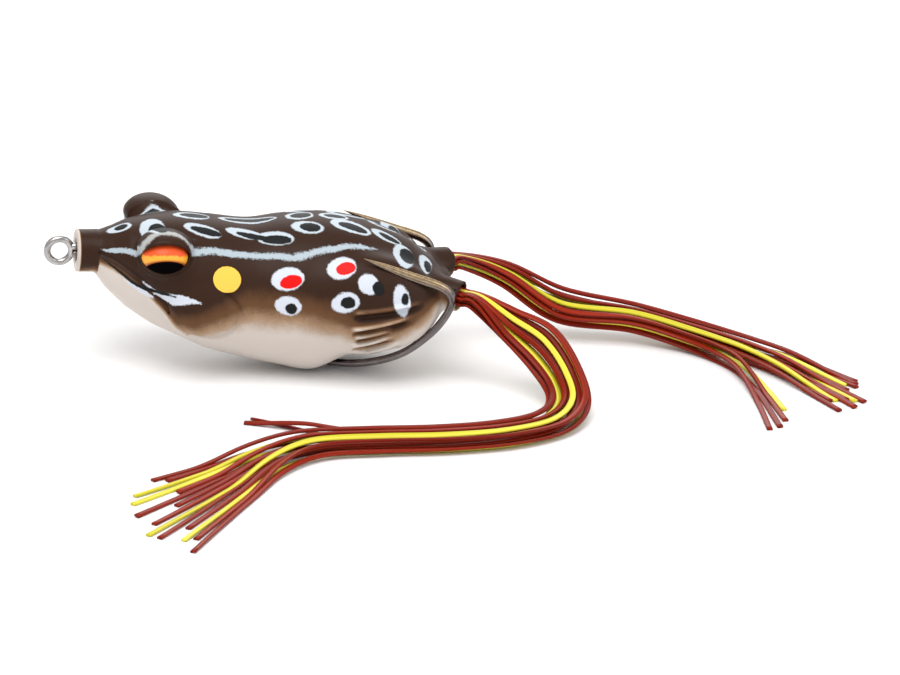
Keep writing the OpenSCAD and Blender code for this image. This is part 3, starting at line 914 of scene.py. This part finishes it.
# ---- Eyes -------------------------------------------------------------------
def eye_material():
    """Resin over an iris, orange above and yellow below, with a low oval pupil."""
    paint = Paint("frog_eye")
    paint.shader.inputs["Roughness"].default_value = 0.3
    up, fore = paint.field("eye_up"), paint.field("eye_fore")
    speck = paint.math("SUBTRACT", paint.noise(2500.0, 3.0), 0.5)
    arch = paint.math("MULTIPLY", paint.math("MULTIPLY", fore, fore), 0.06)
    height = paint.math("ADD", paint.math("ADD", up, arch), paint.math("MULTIPLY", speck, 0.9))
    iris = paint.mix(paint.ramp(height, 0.95, 1.25), colour(240, 168, 58), colour(232, 88, 42))
    a = paint.math("DIVIDE", fore, 2.9)
    b = paint.math("DIVIDE", paint.math("ADD", up, 1.5), 1.75)
    oval = paint.math("ADD", paint.math("MULTIPLY", a, a), paint.math("MULTIPLY", b, b))
    ringed = paint.mix(paint.ramp(oval, 1.5, 1.0), iris, colour(150, 62, 18))
    lower = paint.mix(paint.ramp(up, -0.6, -1.4), ringed, colour(190, 92, 34))
    pupil = paint.ramp(oval, 1.06, 0.96)
    paint.put(paint.shader.inputs["Base Color"], paint.mix(pupil, lower, colour(9, 7, 8)))
    gloss = paint.math("MULTIPLY", paint.math("SUBTRACT", 1.0, pupil), 0.22)
    paint.put(paint.shader.inputs["Specular IOR Level"], gloss)
    return paint.material


def eye_dome():
    """Vertices round (0, 0, 0) and faces of an eyeball that faces +Y and is flattened upwards."""
    rings, around, reach = 28, 72, math.radians(100)
    vertices, faces = [(0.0, EYE_R, 0.0)], []
    for i in range(1, rings + 1):
        angle = reach * i / rings
        for j in range(around):
            turn = 2 * math.pi * j / around
            vertices.append((EYE_R * math.sin(angle) * math.cos(turn), EYE_R * math.cos(angle),
                             EYE_LOW_R * math.sin(angle) * math.sin(turn)))
    for j in range(around):
        faces.append((0, 1 + j, 1 + (j + 1) % around))
    for i in range(rings - 1):
        a = 1 + i * around
        for j in range(around):
            k = (j + 1) % around
            faces.append((a + j, a + around + j, a + around + k, a + k))
    faces.append(tuple(1 + (rings - 1) * around + j for j in range(around - 1, -1, -1)))
    return np.array(vertices), faces


def add_eyes():
    resin = eye_material()
    for side_name, side in SIDES.items():
        v, faces = eye_dome()
        placed = np.column_stack([v[:, 0] + EYE[0], side * (v[:, 1] + EYE[1]), v[:, 2] + EYE[2]])
        if side > 0:
            faces = [f[::-1] for f in faces]
        eye = make_mesh(f"frog_eye_{side_name}", placed, faces)
        add_field(eye, "eye_up", v[:, 2])
        add_field(eye, "eye_fore", v[:, 0])
        eye.data.materials.append(resin)
        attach(eye, "eyes")
        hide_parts(f"eye_{side_name}")


# ---- Double hook --------------------------------------------------------------
EYE_WIRE_R, EYE_PITCH_R = 0.55, 1.85             # of the line-tie eye
WIRE_SIDES, EYE_STEPS, WIRE_STEPS = 20, 72, 220
# Right-hand wire from the back of the eye to the point: [X, Y, Z, half width, half height]
WIRE = [
    (1.75, 0, 0.56, 0.6, 0.6), (3.2, 0, 0.56, 0.6, 0.6), (8, 0.45, -0.9, 0.6, 0.6),
    (12.5, 0.56, -3.2, 0.6, 0.6), (22, 0.56, -8, 0.6, 0.6), (32, 0.56, -13.2, 0.6, 0.6),
    (38, 0.7, -16, 0.6, 0.6), (42, 2, -17.2, 0.6, 0.6), (46.9, 5.2, -16.3, 0.62, 0.6),
    (52.2, 7.7, -13.9, 0.62, 0.6), (56.3, 9.6, -9.9, 0.62, 0.6), (58.55, 10.6, -6.2, 0.6, 0.6),
    (58.95, 11, -3.6, 0.6, 0.64), (57.3, 11.1, -1.9, 0.58, 0.7), (53, 11, -0.4, 0.5, 0.74),
    (48.6, 10.9, 1.25, 0.38, 0.5), (45.2, 10.8, 2.6, 0.03, 0.04)
]


def hook_material():
    """Black nickel: painted glint on the line-tie eye, painted tan reflection on the spears."""
    paint = Paint("black_nickel")
    paint.shader.inputs["Metallic"].default_value = 1.0
    nickel_glint = paint.field("nickel_glint")
    streak = paint.noise(700.0, 3.0)
    dark = paint.mix(streak, colour(92, 86, 88), colour(132, 124, 122))
    # Painted glint: a lighter copy of the nickel, used on the line-tie eye
    light = paint.mix(streak, colour(132, 130, 132), colour(208, 204, 202))
    # Painted tan reflection of the brown body, with noise streaks, on the upper side of the spears
    tan_reflection = paint.mix(paint.noise(1800.0, 3.0), colour(120, 98, 72), colour(226, 196, 150))
    plated = paint.mix(paint.field("tan_reflection"), dark, tan_reflection)
    paint.put(paint.shader.inputs["Base Color"], paint.mix(nickel_glint, plated, light))
    paint.put(paint.shader.inputs["Roughness"],
              paint.math("ADD", 0.16, paint.math("MULTIPLY", streak, 0.12)))
    paint.bump(paint.noise(3000.0, 2.0), 0.06, 0.00005)
    return paint.material


def line_tie_eye(turn):
    """Vertices and faces of the ring of wire at the nose."""
    ring, quads = [], []
    for i in range(EYE_STEPS):
        angle = 2 * math.pi * i / EYE_STEPS
        for a in turn:
            away = EYE_PITCH_R + EYE_WIRE_R * math.cos(a)
            ring.append((away * math.cos(angle), EYE_WIRE_R * math.sin(a), away * math.sin(angle)))
    for i in range(EYE_STEPS):
        n = (i + 1) % EYE_STEPS
        for j in range(WIRE_SIDES):
            m = (j + 1) % WIRE_SIDES
            quads.append((i * WIRE_SIDES + j, n * WIRE_SIDES + j,
                          n * WIRE_SIDES + m, i * WIRE_SIDES + m))
    return ring, quads


def hook_wire(side, turn):
    """Vertices and faces of one side's wire, and its painted glint and painted tan reflection."""
    route = np.array(WIRE)
    start = route[:, 0] < 4
    route[start, 2] *= side
    route[:, 1] *= side
    t = np.linspace(0, len(route) - 1, WIRE_STEPS)
    p = cubic(route, t)
    outline = np.stack([p[:, 3:4] * np.cos(turn), p[:, 4:5] * np.sin(turn)], 2)
    vertices, faces = sweep(p[:, :3], outline)
    # Painted glint on the wire near the line-tie eye
    nickel_glint = np.repeat(ease((9 - p[:, 0]) / 3) * (t < 5), WIRE_SIDES)
    # Painted tan reflection along the spear, on the upper side of the wire only
    tan_reflection = np.repeat(ease((t - 12.2) / 1.2), WIRE_SIDES)
    return vertices, faces, nickel_glint, tan_reflection * np.tile(0.5 + 0.5 * np.sin(turn), len(p))


def add_hook():
    turn = np.linspace(0, 2 * math.pi, WIRE_SIDES, endpoint=False)
    ring, quads = line_tie_eye(turn)
    # The whole line-tie eye gets the painted glint and none of the painted tan reflection
    parts = [(ring, quads, np.ones(len(ring)), np.zeros(len(ring)))]
    parts += [hook_wire(side, turn) for side in SIDES.values()]
    vertices, faces, nickel_glint, tan_reflection = [], [], [], []
    for v, f, shine, reflection_share in parts:
        start = len(vertices)
        vertices.extend(v)
        faces.extend(tuple(i + start for i in face) for face in f)
        nickel_glint.extend(shine)
        tan_reflection.extend(reflection_share)
    hook = make_mesh("hook_wire", vertices, faces)
    add_field(hook, "nickel_glint", nickel_glint)
    add_field(hook, "tan_reflection", tan_reflection)
    hook.data.materials.append(hook_material())
    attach(hook, "body")
    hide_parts("double_hook")


# ---- Pieces hidden in the body ---------------------------------------------------
CORE_HALF_W, CORE_HALF_H, CORE_LOBES = 1.8, 1.2, 16


def core_material():
    paint = Paint("skirt_core")
    lines = paint.noise(1500.0, 2.0)
    paint.put(paint.shader.inputs["Base Color"],
              paint.mix(lines, colour(70, 14, 8), colour(140, 38, 24)))
    paint.shader.inputs["Roughness"].default_value = 0.4
    return paint.material


def add_core():
    """The strands' hidden middle, from one leg tube's mouth to the other's."""
    half = [out_of_tube(1, -10.7), out_of_tube(1, -7.5), out_of_tube(1, -4), out_of_tube(1, -0.3)]
    middle = np.array([(MOUTH[0] - 10.6, 0, MOUTH[2] + 1.6)])
    mirrored = [p * (1, -1, 1) for p in half[::-1]]
    path = cubic(np.vstack([mirrored, middle, half]), np.linspace(0, 8, 90))
    turn = np.linspace(0, 2 * math.pi, 96, endpoint=False)
    lobes = 1 - 0.07 * (1 - np.abs(np.cos(CORE_LOBES / 2 * turn)))
    outline = np.stack([CORE_HALF_W * lobes * np.cos(turn), CORE_HALF_H * lobes * np.sin(turn)], 1)
    vertices, faces = sweep(path, np.repeat(outline[None], len(path), axis=0))
    core = make_mesh("skirt_core_bundle", vertices, faces)
    core.data.materials.append(core_material())
    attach(core, "body")
    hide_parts("skirt_core")


def dress_ballast():
    """The ballast keeps its own mesh and gets a pitted cast metal."""
    lead = Paint("ballast_metal")
    lead.shader.inputs["Metallic"].default_value = 1.0
    pits = lead.noise(500.0, 4.0)
    lead.put(lead.shader.inputs["Base Color"],
             lead.mix(pits, colour(105, 106, 110), colour(150, 150, 152)))
    lead.put(lead.shader.inputs["Roughness"],
             lead.math("ADD", 0.4, lead.math("MULTIPLY", pits, 0.3)))
    lead.bump(pits, 0.4, 0.0002)
    mesh = frame["nodes"]["hook_weight"].data
    mesh.materials.clear()
    mesh.materials.append(lead.material)


add_camera()
add_strands()
add_body()
add_eyes()
add_hook()
add_core()
dress_ballast()
add_studio()
